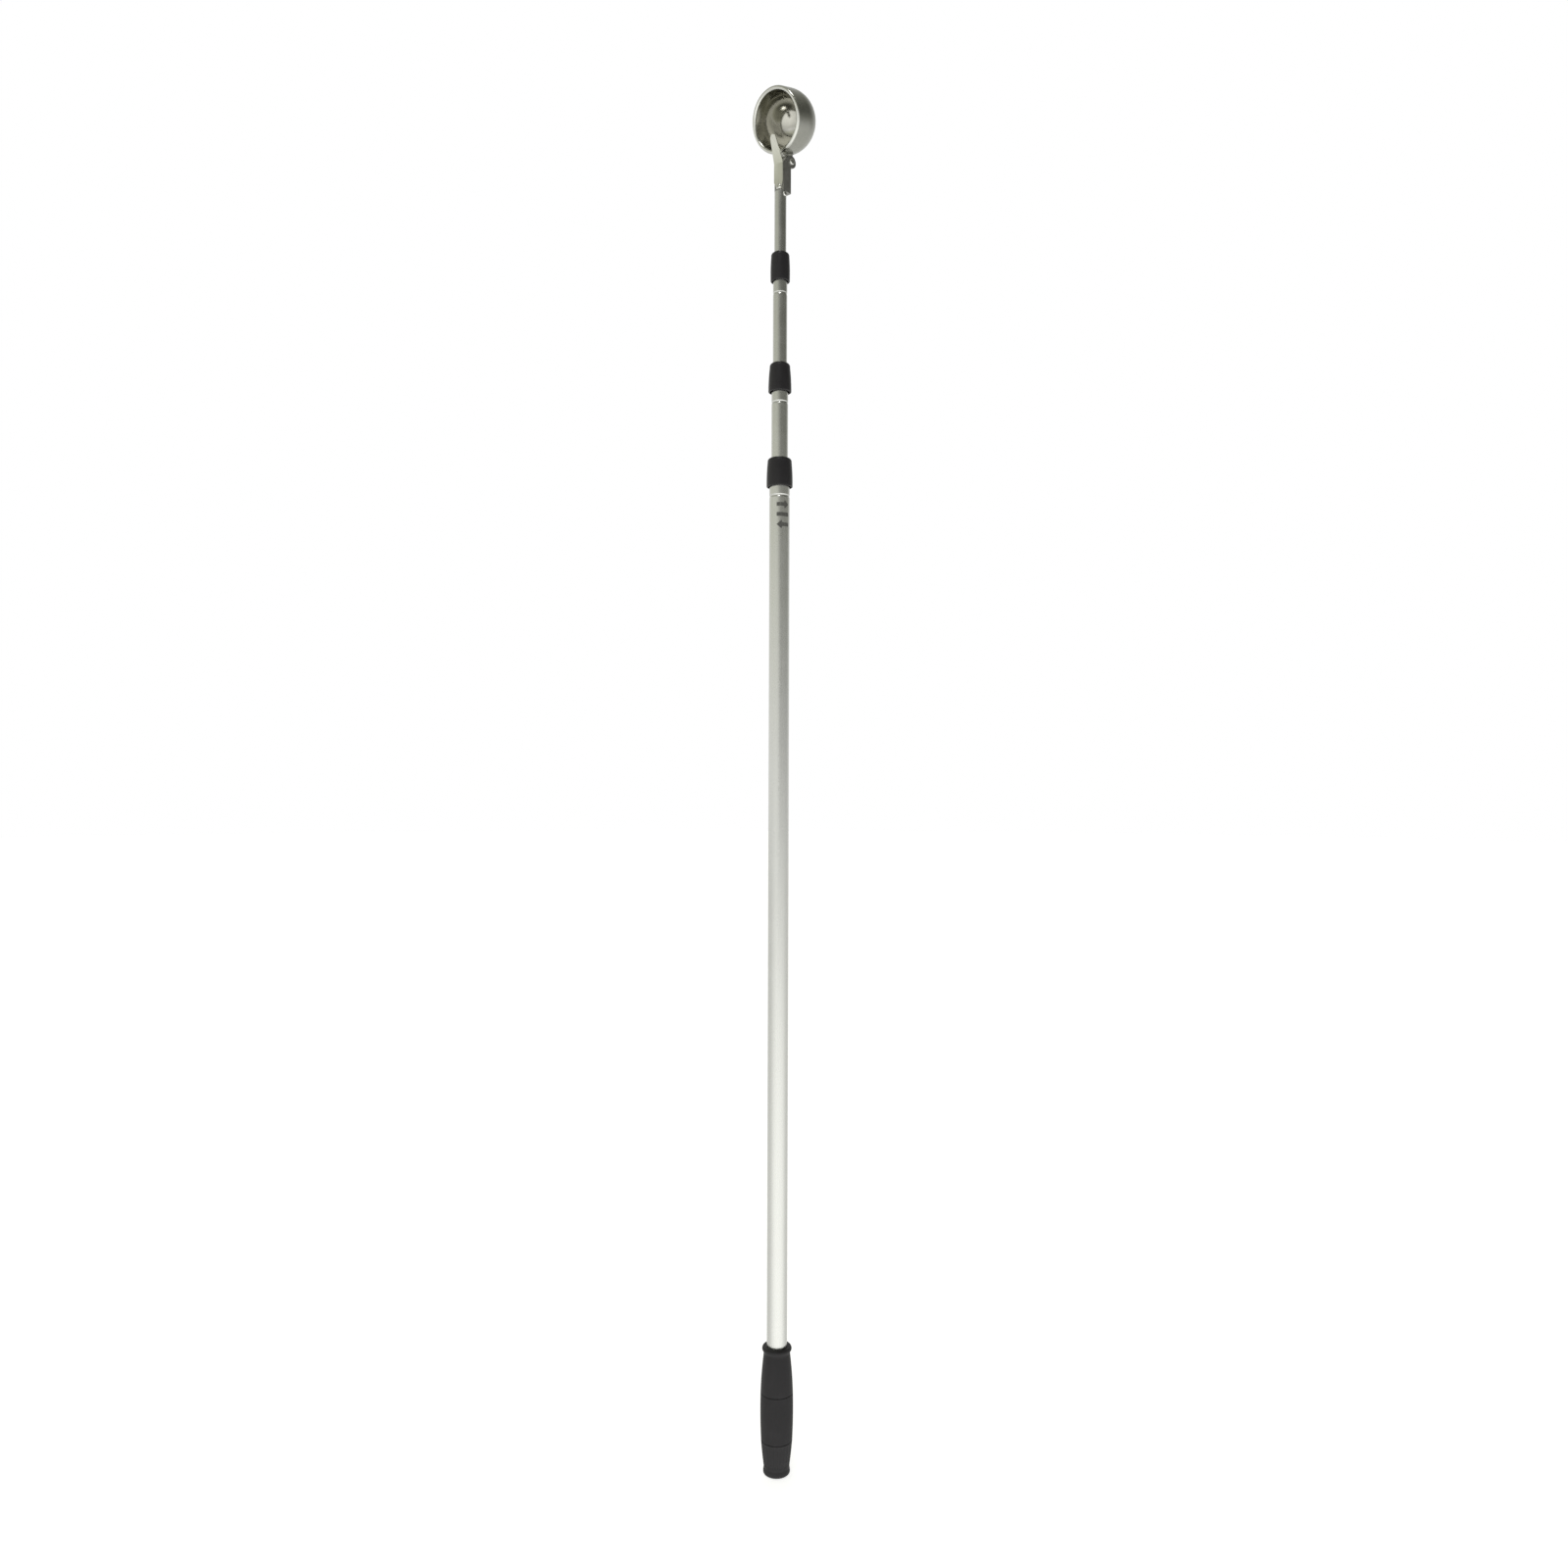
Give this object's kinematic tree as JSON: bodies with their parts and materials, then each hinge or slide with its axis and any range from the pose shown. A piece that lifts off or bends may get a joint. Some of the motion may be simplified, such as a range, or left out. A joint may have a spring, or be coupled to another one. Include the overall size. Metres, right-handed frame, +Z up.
{
  "type": "telescopic ball retriever",
  "caption": "Telescopic pole with a rubber grip, twist-locking metal tubes and a sprung cup with a finger that picks up and holds a golf ball.",
  "frame": {"origin": "centre of the grip's flat butt face, on the pole's axis", "axes": "+Z up along the pole to the cup, -Y the way the cup's mouth faces, X along the hinge pin"},
  "size_m": [0.0514, 0.0452, 1.1619],
  "materials": {
    "satin_steel_tube": "satin drawn tube",
    "cup_steel": "polished inside and on the lip, satin outside",
    "finger_steel": "satin",
    "bracket_steel": "satin",
    "cast_zinc": "fine cast grey",
    "rivet_metal": "bright",
    "screw_steel": "bright plated",
    "spring_steel": "oiled spring wire",
    "black_collar": "moulded, slightly glossy",
    "grip_rubber": "moulded rubber, matt",
    "black_nylon": "moulded",
    "white_nylon": "moulded"
  },
  "bodies": {
    "handle": {"grip_sleeve": "grip_rubber", "butt_plug": "white_nylon", "tube_1": "satin_steel_tube", "collar_3": "black_collar", "guide_bush_3": "white_nylon"},
    "lock_2": {"wedge_nut_2": "black_nylon", "expander_sleeve_2": "white_nylon"},
    "stage_2": {"tube_2": "satin_steel_tube", "lock_screw_2": "black_nylon", "stud_clip_2": "spring_steel", "collar_2": "black_collar", "guide_bush_2": "white_nylon"},
    "lock_3": {"wedge_nut_3": "black_nylon", "expander_sleeve_3": "white_nylon"},
    "stage_3": {"tube_3": "satin_steel_tube", "lock_screw_3": "black_nylon", "stud_clip_3": "spring_steel", "collar_1": "black_collar", "guide_bush_1": "white_nylon"},
    "lock_4": {"wedge_nut_4": "black_nylon", "expander_sleeve_4": "white_nylon"},
    "stage_4": {"tube_4": "satin_steel_tube", "lock_screw_4": "black_nylon", "stud_clip_4": "spring_steel", "head_block": "cast_zinc", "neck_rivet": "rivet_metal", "finger": "finger_steel", "finger_screw": "screw_steel", "hinge_pin": "screw_steel", "pin_clip": "spring_steel", "torsion_spring": "spring_steel"},
    "cup": {"hinge_lug": "bracket_steel", "lug_rivets": "rivet_metal", "cup_bowl": "cup_steel"}
  },
  "joints": [
    {"name": "slide_2", "type": "slide", "parent": "handle", "child": "lock_2", "axis": [0, 0, 1], "range_m": [-0.0548, 0.702]},
    {"name": "twist_2", "type": "hinge", "parent": "lock_2", "child": "stage_2", "pos_m": [0, 0, 0.1], "axis": [0, 0, 1], "range_deg": [0, 180]},
    {"name": "slide_3", "type": "slide", "parent": "stage_2", "child": "lock_3", "axis": [0, 0, 1], "range_m": [-0.0678, 0.662]},
    {"name": "twist_3", "type": "hinge", "parent": "lock_3", "child": "stage_3", "pos_m": [0, 0, 0.22], "axis": [0, 0, 1], "range_deg": [0, 180]},
    {"name": "slide_4", "type": "slide", "parent": "stage_3", "child": "lock_4", "axis": [0, 0, 1], "range_m": [-0.046, 0.652]},
    {"name": "twist_4", "type": "hinge", "parent": "lock_4", "child": "stage_4", "pos_m": [0, 0, 0.32], "axis": [0, 0, 1], "range_deg": [0, 180]},
    {"name": "cup_hinge", "type": "hinge", "parent": "stage_4", "child": "cup", "pos_m": [0, 0.0083, 1.1018], "axis": [-1, 0, 0], "range_deg": [0, 35], "stiffness_Nm_per_rad": 0.05, "springref_deg": -40.11, "deforming": ["torsion_spring"]}
  ]
}
